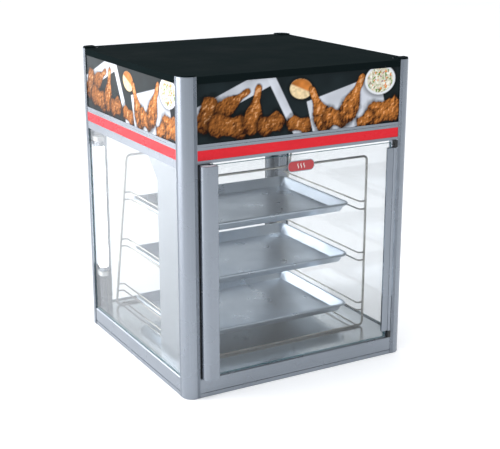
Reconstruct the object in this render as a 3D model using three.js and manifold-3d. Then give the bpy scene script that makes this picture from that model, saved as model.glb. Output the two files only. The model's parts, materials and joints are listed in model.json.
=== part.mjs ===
// Countertop hot food display case: a glazed aluminium cabinet with a heated, lit chamber, a swinging glass
// front door, a welded wire rack and three sheet pans. Millimetres, +Z up, +X to the right along the front,
// the door on the -Y side. The origin is the centre of the case's footprint, on the counter.
import * as THREE from 'three';
import { mergeVertices } from 'three/addons/utils/BufferGeometryUtils.js';
import Module from 'manifold-3d';

const wasm = await Module();
wasm.setup();

// Driving dimensions
const WIDTH = 604;
const DEPTH = 588;
const HEIGHT = 740;
const LEFT = -WIDTH / 2;
const RIGHT = WIDTH / 2;
const FRONT = -DEPTH / 2;
const REAR = DEPTH / 2;
const GAP = 0.3;
const FACE_INSET = 0.5;

const POST = 35;
const POST_RADIUS = 26;
const POST_WALL = 2.5;
const CAP_HEIGHT = 3;

const GLASS = 5;
const GLASS_INSET = 3;
const GROOVE_DEPTH = 8;
const RAIL_THICKNESS = 12;

const BASE_HEIGHT = 47;
const FLOOR_TOP = 45.2;
const SHEET = 1.2;

const CEILING_LEDGE = 552;
const DOOR_HEAD = 550;
const SIDE_HEAD = 538;
const STRIPE_LOW = 557;
const STRIPE_HIGH = 580;
const PANEL_SEAT = 585;
const TRIM_TOP = 593;
const RIM_DROP = 16;

const PROUD = 20;
const DOOR_GAP = 4;
const HANDLE_WIDTH = 38;
const STILE_WIDTH = 26;
const BARREL_RADIUS = 4.5;
const HINGE_X = RIGHT - POST - DOOR_GAP - BARREL_RADIUS;
const HINGE_Y = FRONT - 1;
const HINGE_BLOCK = 17;

const RACK_X = 3;
const RACK_HALF = 246.5;
const RACK_FRONT = FRONT + 100;
const RACK_REAR = FRONT + 545;
const RACK_HEIGHT = 444;
const RACK_LEAN = THREE.MathUtils.degToRad(13);
const RACK_BEND = 11;
const LOOP_WIRE = 3;
const RAIL_WIRE = 2;
const RAIL_HALF = 229.5;
const RACK_FOOT = FLOOR_TOP + GAP + LOOP_WIRE;
const TIERS = { bottom: 89.5, middle: 223.5, top: 357.5 };
const GUIDE_RISE = 20.3;

const PAN_WIDTH = 460;
const PAN_DEPTH = 332;
const PAN_FRONT = FRONT + 136;
const RIM_HEIGHT = 7;
const PAN_CORNER = 24;

const DUCT_LEFT = LEFT + 25;
const DUCT_RIGHT = LEFT + 49;
const DUCT_FRONT = FRONT + 40;
const DUCT_FLARE = FRONT + 266;
const BLOWER = { x: 40, y: 30 };

const finishes = {
  satinAluminium: { color: 0xbfc5cf, metalness: 0.9, roughness: 0.38 },
  brushedSteel: { color: 0xb4bcc2, metalness: 0.95, roughness: 0.3 },
  panAluminium: { color: 0x9fb0c0, metalness: 0.9, roughness: 0.34 },
  chromeWire: { color: 0xd5d5cc, metalness: 1.0, roughness: 0.15 },
  blackPanel: { color: 0x0e1415, metalness: 0.1, roughness: 0.4 },
  printedPanel: { color: 0x2a211b, metalness: 0.0, roughness: 0.3 },
  blackPlastic: { color: 0x15191a, metalness: 0.0, roughness: 0.55 },
  redStripe: { color: 0xcf2e3a, metalness: 0.0, roughness: 0.35 },
  clearGlass: { color: 0xdfeceb, metalness: 0.0, roughness: 0.03, transparent: true, opacity: 0.3 },
  lampGlass: { color: 0xfdfdf8, metalness: 0.0, roughness: 0.2 },
  whitePlastic: { color: 0xe6e6e2, metalness: 0.0, roughness: 0.5 },
  darkSteel: { color: 0x4a4d50, metalness: 0.8, roughness: 0.45 },
  amberLens: { color: 0xe08a1e, metalness: 0.0, roughness: 0.2 },
  badgePlate: { color: 0xc9ccd0, metalness: 0.8, roughness: 0.35 },
};

const hotCase = new THREE.Group();

function add(name, geometry, finish) {
  const mesh = new THREE.Mesh(geometry, new THREE.MeshStandardMaterial(finishes[finish]));
  mesh.name = name;
  hotCase.add(mesh);
}

// Solids

function toManifold(geometry) {
  const bare = geometry.clone();
  bare.deleteAttribute('normal');
  bare.deleteAttribute('uv');
  const merged = mergeVertices(bare, 1e-4);
  const vertProperties = new Float32Array(merged.attributes.position.array);
  const triVerts = new Uint32Array(merged.index.array);
  return new wasm.Manifold(new wasm.Mesh({ numProp: 3, vertProperties, triVerts }));
}

function toGeometry(manifold) {
  const mesh = manifold.getMesh();
  const geometry = new THREE.BufferGeometry();
  geometry.setAttribute('position', new THREE.BufferAttribute(mesh.vertProperties, 3));
  geometry.setIndex(new THREE.BufferAttribute(mesh.triVerts, 1));
  geometry.computeVertexNormals();
  return geometry;
}

function unite(geometries) {
  const solids = geometries.map(toManifold);
  return toGeometry(solids.reduce((whole, solid) => whole.add(solid)));
}

function cut(geometry, tools) {
  return toGeometry(tools.map(toManifold).reduce((left, tool) => left.subtract(tool), toManifold(geometry)));
}

function block(x0, x1, y0, y1, z0, z1) {
  const geometry = new THREE.BoxGeometry(x1 - x0, y1 - y0, z1 - z0);
  return geometry.translate((x0 + x1) / 2, (y0 + y1) / 2, (z0 + z1) / 2);
}

function upright(shape, z0, z1, curveSegments = 6) {
  const geometry = new THREE.ExtrudeGeometry(shape, { depth: z1 - z0, bevelEnabled: false, curveSegments });
  return geometry.translate(0, 0, z0);
}

// A [y, z] outline run along X from x0 to x1.
function alongX(shape, x0, x1) {
  const geometry = new THREE.ExtrudeGeometry(shape, { depth: x1 - x0, bevelEnabled: false });
  geometry.applyMatrix4(new THREE.Matrix4().set(0, 0, 1, 0, 1, 0, 0, 0, 0, 1, 0, 0, 0, 0, 0, 1));
  return geometry.translate(x0, 0, 0);
}

function rod(radius, x, y, z0, z1, segments = 20) {
  const geometry = new THREE.CylinderGeometry(radius, radius, z1 - z0, segments);
  return geometry.rotateX(Math.PI / 2).translate(x, y, (z0 + z1) / 2);
}

function shapeOf(points) {
  return new THREE.Shape(points.map(([x, y]) => new THREE.Vector2(x, y)));
}

function roundedRectangle(halfX, halfY, radius) {
  const shape = new THREE.Shape();
  shape.absarc(halfX - radius, halfY - radius, radius, 0, Math.PI / 2);
  shape.absarc(radius - halfX, halfY - radius, radius, Math.PI / 2, Math.PI);
  shape.absarc(radius - halfX, radius - halfY, radius, Math.PI, 1.5 * Math.PI);
  shape.absarc(halfX - radius, radius - halfY, radius, 1.5 * Math.PI, 2 * Math.PI);
  return shape;
}

// An outline of [inward distance, height] points, run as a rail along one side of the case between the posts.
// The rail is built along the front and turned to its side.
function sideRail(outline, side) {
  const isFrontOrRear = side === 'front' || side === 'rear';
  const half = (isFrontOrRear ? WIDTH : DEPTH) / 2 - POST - GAP;
  const reach = (isFrontOrRear ? DEPTH : WIDTH) / 2;
  const shape = shapeOf(outline.map(([inward, height]) => [inward - reach, height]));
  const turns = { front: 0, right: 1, rear: 2, left: 3 };
  return alongX(shape, -half, half).rotateZ(turns[side] * Math.PI / 2);
}

// A flat plate over the whole plan, inset from the case's faces, with its corners notched round the posts.
function notchedPlate(inset, z0, z1, holes = []) {
  const notch = POST + GAP;
  const [x, y] = [RIGHT - inset, REAR - inset];
  const [nx, ny] = [RIGHT - notch, REAR - notch];
  const outline = [[nx, -y], [nx, -ny], [x, -ny], [x, ny], [nx, ny], [nx, y],
    [-nx, y], [-nx, ny], [-x, ny], [-x, -ny], [-nx, -ny], [-nx, -y]];
  const shape = shapeOf(outline);
  shape.holes.push(...holes);
  return upright(shape, z0, z1, 10);
}

// Frame

const corners = [
  { name: 'front_left', sx: 1, sy: 1 },
  { name: 'front_right', sx: -1, sy: 1 },
  { name: 'rear_left', sx: 1, sy: -1 },
  { name: 'rear_right', sx: -1, sy: -1 },
];

// Corner distances run inward from the case's outer corner.
function atCorner({ sx, sy }, points) {
  return points.map(([inX, inY]) => [sx * (LEFT + inX), sy * (FRONT + inY)]);
}

function cornerArc(centre, radius, steps, startAngle = 1.5 * Math.PI, endAngle = Math.PI) {
  const points = [];
  for (let step = 0; step <= steps; step += 1) {
    const angle = startAngle + (endAngle - startAngle) * step / steps;
    points.push([centre + radius * Math.cos(angle), centre + radius * Math.sin(angle)]);
  }
  return points;
}

// Three shallow flutes across a face: the points of one V each, along the face and into it.
function flutes(positions, intoFace) {
  const half = 0.8;
  const depth = 0.7;
  return positions.flatMap((at) => [[at + half, 0], [at, depth], [at - half, 0]].map(intoFace));
}

function postOutline() {
  const outerFlutes = [33, 30.5, 28];
  const innerFlutes = [27, 21, 15];
  const slot = [GLASS_INSET - GAP, GLASS_INSET + GLASS + GAP];
  return [
    [POST, 0],
    ...flutes(outerFlutes, ([along, into]) => [along, into]),
    ...cornerArc(POST_RADIUS, POST_RADIUS, 8),
    ...flutes(outerFlutes, ([along, into]) => [into, along]).reverse(),
    [0, POST],
    [slot[0], POST],
    [slot[0], POST - GROOVE_DEPTH],
    [slot[1], POST - GROOVE_DEPTH],
    [slot[1], POST],
    ...flutes(innerFlutes, ([along, into]) => [along, POST - into]).reverse(),
    [POST, POST],
    ...flutes(innerFlutes, ([along, into]) => [POST - into, along]),
  ];
}

function postHollow() {
  const far = POST - POST_WALL;
  const clearOfSlot = GLASS_INSET + GLASS + POST_WALL;
  const shelf = POST - GROOVE_DEPTH - POST_WALL - 0.5;
  const endAngle = Math.PI + Math.asin((POST_RADIUS - shelf) / (POST_RADIUS - POST_WALL));
  return [
    [far, POST_WALL],
    ...cornerArc(POST_RADIUS, POST_RADIUS - POST_WALL, 5, 1.5 * Math.PI, endAngle),
    [clearOfSlot, shelf],
    [clearOfSlot, far],
    [far, far],
  ];
}

function addPosts() {
  for (const corner of corners) {
    const shape = shapeOf(atCorner(corner, postOutline()));
    shape.holes.push(shapeOf(atCorner(corner, postHollow()).reverse()));
    add(`post_${corner.name}`, upright(shape, 0, HEIGHT), 'satinAluminium');

    const edge = 1.5;
    const capOutline = [
      [POST - edge, edge],
      ...cornerArc(POST_RADIUS, POST_RADIUS - edge, 6),
      [edge, POST - edge],
      [POST - edge, POST - edge],
    ];
    const cap = upright(shapeOf(atCorner(corner, capOutline)), HEIGHT + GAP, HEIGHT + CAP_HEIGHT);
    add(`post_cap_${corner.name}`, cap, 'blackPlastic');
  }
}

// A channel open inward, with a fine groove near its foot and a shallow trough for the glass along its top.
// The shelf behind the trough carries the floor.
function baseOutline() {
  const wall = 3;
  const trough = 9;
  const inner = 26;
  const shelf = FLOOR_TOP - SHEET - GAP;
  return [
    [1, 0], [1, 9.6], [2.4, 10.2], [2.4, 11.6], [1, 12.2], [1, BASE_HEIGHT - 3], [2.6, BASE_HEIGHT],
    [trough, BASE_HEIGHT], [trough, shelf], [inner, shelf], [inner, shelf - 2.5], [1 + wall, shelf - 2.5],
    [1 + wall, wall], [inner, wall], [inner, 0],
  ];
}

// The front head stops short above the door. The others reach lower and hold the glass in a groove.
// Each has a seat for the header panel behind its upper lip, a recess for the red stripe, and a ledge for the
// ceiling.
function headOutline(side) {
  const face = FACE_INSET;
  const low = side === 'front' ? DOOR_HEAD : SIDE_HEAD;
  const thick = RAIL_THICKNESS;
  const ledge = 2 * RAIL_THICKNESS;
  const lip = 2.2;
  const recess = 2.3;
  const [slotFront, slotBack] = [GLASS_INSET - GAP, GLASS_INSET + GLASS + GAP];
  const grooveTop = low + GROOVE_DEPTH;
  const groove = [[slotFront, low], [slotFront, grooveTop], [slotBack, grooveTop], [slotBack, low]];
  const middle = (STRIPE_HIGH + TRIM_TOP) / 2;
  return [
    [face, low], ...(side === 'front' ? [] : groove), [thick, low],
    [thick, CEILING_LEDGE - 2], [ledge, CEILING_LEDGE - 2], [ledge, CEILING_LEDGE], [thick, CEILING_LEDGE],
    [thick, PANEL_SEAT], [lip, PANEL_SEAT], [lip, TRIM_TOP], [face, TRIM_TOP],
    [face, middle + 0.6], [face + 0.5, middle], [face, middle - 0.6],
    [face, STRIPE_HIGH], [recess, STRIPE_HIGH], [recess, STRIPE_LOW], [face, STRIPE_LOW],
  ];
}

const stripeOutline = [
  [0.8, STRIPE_LOW + GAP], [2, STRIPE_LOW + GAP], [2, STRIPE_HIGH - GAP], [0.8, STRIPE_HIGH - GAP],
];

const PANEL = 3;
const panelFace = 2.5;
const panelTop = HEIGHT - 5;
const panelOutline = [
  [panelFace, PANEL_SEAT + GAP], [panelFace + PANEL, PANEL_SEAT + GAP],
  [panelFace + PANEL, panelTop], [panelFace, panelTop],
];

function addSides() {
  for (const side of ['front', 'rear', 'left', 'right']) {
    add(`base_rail_${side}`, sideRail(baseOutline(), side), 'satinAluminium');
    add(`header_rail_${side}`, sideRail(headOutline(side), side), 'satinAluminium');
    add(`red_stripe_${side}`, sideRail(stripeOutline, side), 'redStripe');
    if (side !== 'rear') add(`header_panel_${side}`, sideRail(panelOutline, side), 'printedPanel');
  }
}

function addFloors() {
  add('floor_pan', notchedPlate(9 + GAP, FLOOR_TOP - SHEET, FLOOR_TOP), 'brushedSteel');
  add('bottom_cover', notchedPlate(6, 3 + GAP, 3 + GAP + SHEET), 'brushedSteel');
}

// The ceiling has an intake for the blower and an opening over the duct.
function addCeiling() {
  const intake = new THREE.Path().absarc(BLOWER.x, BLOWER.y, 48, 0, 2 * Math.PI);
  const [x0, x1] = [DUCT_LEFT + 2, DUCT_RIGHT - 2];
  const [y0, y1] = [DUCT_FRONT + 4, DUCT_FLARE - 4];
  const mouth = shapeOf([[x0, y0], [x1, y0], [x1, y1], [x0, y1]]);
  const low = CEILING_LEDGE + GAP;
  const inset = RAIL_THICKNESS + GAP;
  add('ceiling_panel', notchedPlate(inset, low, low + SHEET, [intake, mouth]), 'brushedSteel');
}

function addTop() {
  const lid = notchedPlate(FACE_INSET, HEIGHT - RIM_DROP, HEIGHT);
  const rim = FACE_INSET + SHEET;
  const [low, high] = [HEIGHT - RIM_DROP - 1, HEIGHT - SHEET];
  const hollow = [
    block(LEFT + POST, RIGHT - POST, FRONT + rim, REAR - rim, low, high),
    block(LEFT + rim, RIGHT - rim, FRONT + POST, REAR - POST, low, high),
  ];
  add('top_panel', cut(lid, hollow), 'blackPanel');
}

// Glazing

const glassLow = BASE_HEIGHT + GAP;
const glassHigh = SIDE_HEAD + GROOVE_DEPTH - GAP;

function addGlass() {
  const endY = REAR - POST + GROOVE_DEPTH - GAP;
  const [outer, inner] = [GLASS_INSET, GLASS_INSET + GLASS];
  add('glass_left', block(LEFT + outer, LEFT + inner, -endY, endY, glassLow, glassHigh), 'clearGlass');
  add('glass_right', block(RIGHT - inner, RIGHT - outer, -endY, endY, glassLow, glassHigh), 'clearGlass');

  const far = RIGHT - POST - GAP;
  const near = far - 24;
  const endX = near + GROOVE_DEPTH - GAP;
  const [back, face] = [REAR - GLASS_INSET, REAR - GLASS_INSET - GLASS];
  add('glass_rear', block(-endX, endX, face, back, glassLow, glassHigh), 'clearGlass');

  for (const [name, sign] of [['left', -1], ['right', 1]]) {
    const outline = [
      [near, face - 3], [far, face - 3], [far, back + 2], [near, back + 2], [near, back + GAP],
      [near + GROOVE_DEPTH, back + GAP], [near + GROOVE_DEPTH, face - GAP], [near, face - GAP],
    ];
    const shape = shapeOf(outline.map(([x, y]) => [sign * x, y]));
    add(`rear_channel_${name}`, upright(shape, glassLow, SIDE_HEAD - GAP), 'satinAluminium');
  }
}

// Door, hung on pivots at the right and opening outward

const doorGlassFace = FRONT + 1;
const doorGlassBack = doorGlassFace + GLASS;
const doorLow = BASE_HEIGHT + 1;
const doorHigh = DOOR_HEAD - 3;
const handleLeft = LEFT + POST + 3;
const stileLeft = RIGHT - POST - DOOR_GAP - STILE_WIDTH;
const glassBite = 12;
const pinRadius = 2.2;

// The handle is a hollow extrusion with a round nose on its outer edge and a flat front.
function addHandle() {
  const nose = 14;
  const wall = 3;
  const back = 9;
  const bite = HANDLE_WIDTH - glassBite;
  const [faceSlot, backSlot] = [doorGlassFace - FRONT - GAP, doorGlassBack - FRONT + GAP];
  const round = (radius, steps) => cornerArc(0, radius, steps).reverse()
    .map(([x, y]) => [x + nose, y + nose - PROUD]);
  const outline = [
    [0, back],
    ...round(nose, 8),
    [HANDLE_WIDTH - 2, -PROUD], [HANDLE_WIDTH, 2 - PROUD],
    [HANDLE_WIDTH, faceSlot], [bite, faceSlot], [bite, backSlot], [HANDLE_WIDTH, backSlot],
    [HANDLE_WIDTH, back],
  ];
  const inside = HANDLE_WIDTH - wall;
  const hollow = [
    [wall, back - wall], ...round(nose - wall, 4), [inside, wall - PROUD],
    [inside, faceSlot - wall], [bite - wall, faceSlot - wall], [bite - wall, back - wall],
  ];
  const place = ([x, y]) => [handleLeft + x, FRONT + y];
  const shape = shapeOf(outline.map(place));
  shape.holes.push(shapeOf(hollow.map(place)));
  add('door_handle', upright(shape, doorLow, doorHigh), 'satinAluminium');
}

function addHingeStile() {
  const plateFront = FRONT - 2;
  const plateBack = FRONT + 8;
  const plateRight = HINGE_X - 3.5;
  const slotEnd = stileLeft + glassBite;
  const lipLeft = stileLeft + 4;
  const startAngle = Math.PI + Math.asin((HINGE_Y - plateFront) / BARREL_RADIUS);
  const endAngle = 2 * Math.PI + Math.acos((plateRight - HINGE_X) / BARREL_RADIUS);
  const shape = new THREE.Shape();
  shape.moveTo(stileLeft, plateFront);
  shape.absarc(HINGE_X, HINGE_Y, BARREL_RADIUS, startAngle, endAngle);
  shape.lineTo(plateRight, plateBack);
  shape.lineTo(lipLeft, plateBack);
  shape.lineTo(lipLeft, doorGlassBack + GAP);
  shape.lineTo(slotEnd, doorGlassBack + GAP);
  shape.lineTo(slotEnd, doorGlassFace - GAP);
  shape.lineTo(stileLeft, doorGlassFace - GAP);
  shape.holes.push(new THREE.Path().absarc(HINGE_X, HINGE_Y, pinRadius + GAP, 0, 2 * Math.PI));
  const low = BASE_HEIGHT + GAP + HINGE_BLOCK + 1;
  const high = DOOR_HEAD - GAP - HINGE_BLOCK - 1;
  add('door_hinge_stile', upright(shape, low, high, 12), 'satinAluminium');
}

// Each block carries the pivot pin that the stile's barrel turns on.
function addHingeBlocks() {
  const reach = 12;
  const half = BARREL_RADIUS;
  const blocks = [
    { name: 'bottom', z0: BASE_HEIGHT + GAP, pin: [HINGE_BLOCK - 2, HINGE_BLOCK + reach] },
    { name: 'top', z0: DOOR_HEAD - GAP - HINGE_BLOCK, pin: [-reach, 2] },
  ];
  for (const { name, z0, pin } of blocks) {
    const body = block(HINGE_X - half, HINGE_X + half, HINGE_Y - half, HINGE_Y + half, z0, z0 + HINGE_BLOCK);
    const pivot = rod(pinRadius, HINGE_X, HINGE_Y, z0 + pin[0], z0 + pin[1]);
    add(`hinge_block_${name}`, unite([body, pivot]), 'blackPlastic');
  }
}

function addDoorGlass() {
  const left = handleLeft + HANDLE_WIDTH - glassBite + GAP;
  const right = stileLeft + glassBite - GAP;
  const pane = block(left, right, doorGlassFace, doorGlassBack, doorLow + 1, doorHigh - 2);
  add('door_glass', pane, 'clearGlass');

  const badge = upright(roundedRectangle(36, 13, 4), 0, 1.2);
  badge.rotateX(Math.PI / 2).translate(-4, doorGlassFace - GAP, 518);
  add('badge', badge, 'badgePlate');
}

// The seal stands against the post beside the handle. The catch hangs from the head behind the handle's top.
function addSealAndCatch() {
  const sealLeft = LEFT + POST + GAP;
  const seal = block(sealLeft, sealLeft + 2.2, FRONT + 1, FRONT + 8, doorLow, doorHigh);
  add('door_seal', seal, 'blackPlastic');

  const catchLeft = handleLeft + 4;
  const high = DOOR_HEAD - GAP;
  const plate = block(catchLeft, catchLeft + 28, FRONT + 9.5, FRONT + 11.8, high - 12, high);
  add('door_catch', plate, 'blackPlastic');
}

// Rack

// A wire's route: straight runs with rounded corners, given points only where it bends.
class WireRoute extends THREE.Curve {
  constructor(corners3, bendRadius, bendSteps = 4) {
    super();
    this.points = [corners3[0]];
    for (let i = 1; i < corners3.length - 1; i += 1) {
      this.bend(corners3[i - 1], corners3[i], corners3[i + 1], bendRadius, bendSteps);
    }
    this.points.push(corners3[corners3.length - 1]);
  }

  bend(before, corner, after, radius, steps) {
    const back = before.clone().sub(corner).normalize();
    const ahead = after.clone().sub(corner).normalize();
    const half = back.angleTo(ahead) / 2;
    const centre = back.clone().add(ahead).normalize().multiplyScalar(radius / Math.sin(half)).add(corner);
    const start = corner.clone().addScaledVector(back, radius / Math.tan(half)).sub(centre);
    const axis = back.clone().cross(ahead).normalize().negate();
    const sweep = Math.PI - 2 * half;
    for (let step = 0; step <= steps; step += 1) {
      this.points.push(start.clone().applyAxisAngle(axis, sweep * step / steps).add(centre));
    }
  }

  get steps() {
    return this.points.length - 1;
  }

  getPointAt(u, target = new THREE.Vector3()) {
    return target.copy(this.points[Math.round(u * this.steps)]);
  }

  getTangentAt(u, target = new THREE.Vector3()) {
    const i = Math.round(u * this.steps);
    const before = this.points[Math.max(i - 1, 0)];
    const after = this.points[Math.min(i + 1, this.steps)];
    return target.copy(after).sub(before).normalize();
  }
}

function wire(corners3, radius, bendRadius) {
  const route = new WireRoute(corners3.map((p) => new THREE.Vector3(...p)), bendRadius);
  const section = new THREE.Shape().absarc(0, 0, radius, 0, 2 * Math.PI);
  return new THREE.ExtrudeGeometry(section, { steps: route.steps, curveSegments: 4, extrudePath: route });
}

// A closed loop standing on its lower bar, made of two halves welded at the middle of both bars.
function rackLoop(footY, lean) {
  const rise = (along) => [footY - along * Math.sin(lean), RACK_FOOT + along * Math.cos(lean)];
  const weld = 1;
  return [-1, 1].map((side) => {
    const inner = RACK_X - side * weld;
    const outer = RACK_X + side * RACK_HALF;
    const [foot, head] = [rise(0), rise(RACK_HEIGHT)];
    const half = [[inner, ...foot], [outer, ...foot], [outer, ...head], [inner, ...head]];
    return wire(half, LOOP_WIRE, RACK_BEND);
  });
}

function rearLoopY(z) {
  return RACK_REAR - (z - RACK_FOOT) * Math.tan(RACK_LEAN);
}

// A depth wire that runs from the front loop to the rear one and turns outward to meet both.
function depthWire(side, z) {
  const inner = RACK_X + side * RAIL_HALF;
  const outer = RACK_X + side * RACK_HALF;
  const rear = rearLoopY(z);
  const route = [[outer, RACK_FRONT, z], [inner, RACK_FRONT, z], [inner, rear, z], [outer, rear, z]];
  return wire(route, RAIL_WIRE, 8);
}

function addRack() {
  const wires = [...rackLoop(RACK_FRONT, 0), ...rackLoop(RACK_REAR, RACK_LEAN)];
  for (const side of [-1, 1]) {
    for (const height of Object.values(TIERS)) {
      wires.push(depthWire(side, height), depthWire(side, height + GUIDE_RISE));
    }
    const footX = RACK_X + side * (RAIL_HALF - 4);
    const footZ = RACK_FOOT + LOOP_WIRE + RAIL_WIRE - 1;
    wires.push(wire([[footX, RACK_FRONT - 1, footZ], [footX, RACK_REAR + 1, footZ]], RAIL_WIRE, 8));
  }
  add('wire_rack', unite(wires), 'chromeWire');
}

// Sheet pans: a flared wall under a beaded rim, given as [inset from the rim's edge, height below its top].
const panSection = [
  [20, -25], [17, -24.2], [8.2, -6.6], [6.5, -RIM_HEIGHT], [1.5, -RIM_HEIGHT], [0, 1.5 - RIM_HEIGHT],
  [0, -1.5], [1.5, 0], [7, 0], [9.4, -1.4], [18.2, -23.2], [20.6, -23.8],
];

// A closed body skinned over rings that all have the same number of points, capped at both ends.
function skin(rings) {
  const count = rings[0].length;
  const positions = rings.flat().flatMap((point) => point.toArray());
  const faces = [];
  for (let ring = 0; ring < rings.length - 1; ring += 1) {
    for (let i = 0; i < count; i += 1) {
      const next = (i + 1) % count;
      const [here, above] = [ring * count, (ring + 1) * count];
      faces.push(here + i, here + next, above + next);
      faces.push(here + i, above + next, above + i);
    }
  }
  const last = (rings.length - 1) * count;
  for (let i = 1; i < count - 1; i += 1) {
    faces.push(0, i + 1, i);
    faces.push(last, last + i, last + i + 1);
  }
  const geometry = new THREE.BufferGeometry();
  geometry.setAttribute('position', new THREE.Float32BufferAttribute(positions, 3));
  geometry.setIndex(faces);
  geometry.computeVertexNormals();
  return geometry;
}

function addPans() {
  for (const [name, support] of Object.entries(TIERS)) {
    const rimTop = support + RAIL_WIRE + GAP + RIM_HEIGHT;
    const rings = panSection.map(([inset, drop]) => {
      const shape = roundedRectangle(PAN_WIDTH / 2 - inset, PAN_DEPTH / 2 - inset, PAN_CORNER - inset);
      return shape.getPoints(3).slice(0, -1).map(({ x, y }) => new THREE.Vector3(x, y, drop));
    });
    const pan = skin(rings);
    pan.translate(RACK_X, PAN_FRONT + PAN_DEPTH / 2, rimTop);
    add(`pan_${name}`, pan, 'panAluminium');
  }
}

// Warm air duct: a flat sheet-metal channel down the front left corner, open to the plenum above, with outlet
// slots towards the food near its foot.
function addDuct() {
  const wall = 1.2;
  const back = DUCT_FRONT + 149;
  const [foot, bendZ, top] = [FLOOR_TOP + GAP, 478, CEILING_LEDGE - GAP];
  const profile = (inset, roof) => shapeOf([
    [DUCT_FRONT + inset, foot + inset], [back - inset, foot + inset], [back - inset, bendZ],
    [DUCT_FLARE - inset, roof], [DUCT_FRONT + inset, roof],
  ]);
  const shell = alongX(profile(0, top), DUCT_LEFT, DUCT_RIGHT);
  const hollow = alongX(profile(wall, top + 1), DUCT_LEFT + wall, DUCT_RIGHT - wall);
  const outlets = [80, 104, 128, 152, 176].map((z) => (
    block(DUCT_RIGHT - 2, DUCT_RIGHT + 1, DUCT_FRONT + 20, back - 20, z, z + 8)
  ));
  add('air_duct', cut(shell, [hollow, ...outlets]), 'brushedSteel');
}

// Lamp in the rear left corner
function addLamp() {
  const [x, y] = [LEFT + 21.5, REAR - POST - 17];
  const [low, high] = [153, 504];
  const [tube, ferrule] = [13, 12];
  const section = [[0, low], [ferrule, low], [ferrule, low + 11], [tube, low + 13], [tube, high - 13],
    [ferrule, high - 11], [ferrule, high], [0, high]];
  const lamp = new THREE.LatheGeometry(section.map(([r, z]) => new THREE.Vector2(r, z)), 20);
  add('lamp_tube', lamp.rotateX(Math.PI / 2).translate(x, y, 0), 'lampGlass');
  for (const [name, z0] of [['bottom', low - GAP - 12], ['top', high + GAP]]) {
    const socket = block(x - 11, x + 11, y - 11, REAR - POST - GAP, z0, z0 + 12);
    add(`lamp_socket_${name}`, socket, 'whitePlastic');
  }
}

// Header equipment, standing on the ceiling panel

const seat = CEILING_LEDGE + GAP + SHEET + GAP;

function addBlower() {
  const { x, y } = BLOWER;
  const drum = rod(66, x, y, seat, seat + 58, 32);
  const housing = cut(drum, [
    rod(64, x, y, seat - 1, seat + 56, 32),
    rod(7, x, y, seat + 50, seat + 60, 16),
    block(x - 80, x - 40, y - 30, y + 30, seat + 8, seat + 48),
  ]);
  add('blower_housing', housing, 'darkSteel');

  const [wheelLow, wheelHigh] = [seat + 4, seat + 46];
  const blades = [];
  const bladeCount = 16;
  for (let i = 0; i < bladeCount; i += 1) {
    const blade = block(38, 55, -0.8, 0.8, wheelLow, wheelHigh);
    blades.push(blade.rotateZ(2 * Math.PI * i / bladeCount).translate(x, y, 0));
  }
  const backPlate = rod(56, x, y, wheelHigh - 2, wheelHigh, 32);
  const disc = rod(56, x, y, wheelLow, wheelLow + 4, 32);
  const ring = cut(disc, [rod(47, x, y, wheelLow - 1, wheelLow + 5, 32)]);
  const hub = rod(12, x, y, wheelHigh - 22, wheelHigh - 1, 20);
  const bore = rod(4 + GAP, x, y, wheelHigh - 30, wheelHigh + 5, 16);
  add('fan_wheel', cut(unite([backPlate, ring, hub, ...blades]), [bore]), 'brushedSteel');

  const can = rod(38, x, y, seat + 58 + GAP, seat + 120, 24);
  const shaft = rod(4, x, y, wheelHigh - 20, seat + 60, 16);
  add('fan_motor', unite([can, shaft]), 'darkSteel');
}

function addHeater() {
  const radius = 4;
  const z = seat + radius;
  const ends = [LEFT + 70, LEFT + 210];
  const rows = [-90, -50, -10, 30, 70, 110];
  const route = rows.flatMap((row, i) => {
    const [from, to] = i % 2 === 0 ? [ends[1], ends[0]] : ends;
    return [[from, row, z], [to, row, z]];
  });
  add('heating_element', wire(route, radius, 15), 'darkSteel');
}

function addBallast() {
  const body = block(130, 250, 150, 192, seat, seat + 32);
  const foot = block(116, 264, 156, 186, seat, seat + 3);
  add('lamp_ballast', unite([body, foot]), 'darkSteel');
}

// Controls on the rear of the header

const controls = { z: 655, knobX: -60, switchX: 60, lensX: 120, glandX: 210, glandZ: 620 };
const controlFace = REAR - panelFace;
const fitting = controlFace + GAP;
const panelBack = controlFace - PANEL;

function turned(section, x, z, segments = 24) {
  const geometry = new THREE.LatheGeometry(section.map(([r, y]) => new THREE.Vector2(r, y)), segments);
  return geometry.translate(x, 0, z);
}

function addControlPanel() {
  const half = RIGHT - POST - GAP;
  const rectangle = (x0, x1, z0, z1) => shapeOf([[x0, -z1], [x1, -z1], [x1, -z0], [x0, -z0]]);
  const plate = rectangle(-half, half, PANEL_SEAT + GAP, panelTop);
  const { z, knobX, switchX, lensX, glandX, glandZ } = controls;
  for (const [x, height, radius] of [[knobX, z, 4.5], [lensX, z, 6.5], [glandX, glandZ, 9.5]]) {
    plate.holes.push(new THREE.Path().absarc(x, -height, radius, 0, 2 * Math.PI));
  }
  plate.holes.push(rectangle(switchX - 11.5, switchX + 11.5, z - 15.5, z + 15.5));
  const panel = upright(plate, panelBack, controlFace, 10);
  add('control_panel_rear', panel.rotateX(-Math.PI / 2), 'blackPanel');
}

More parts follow.
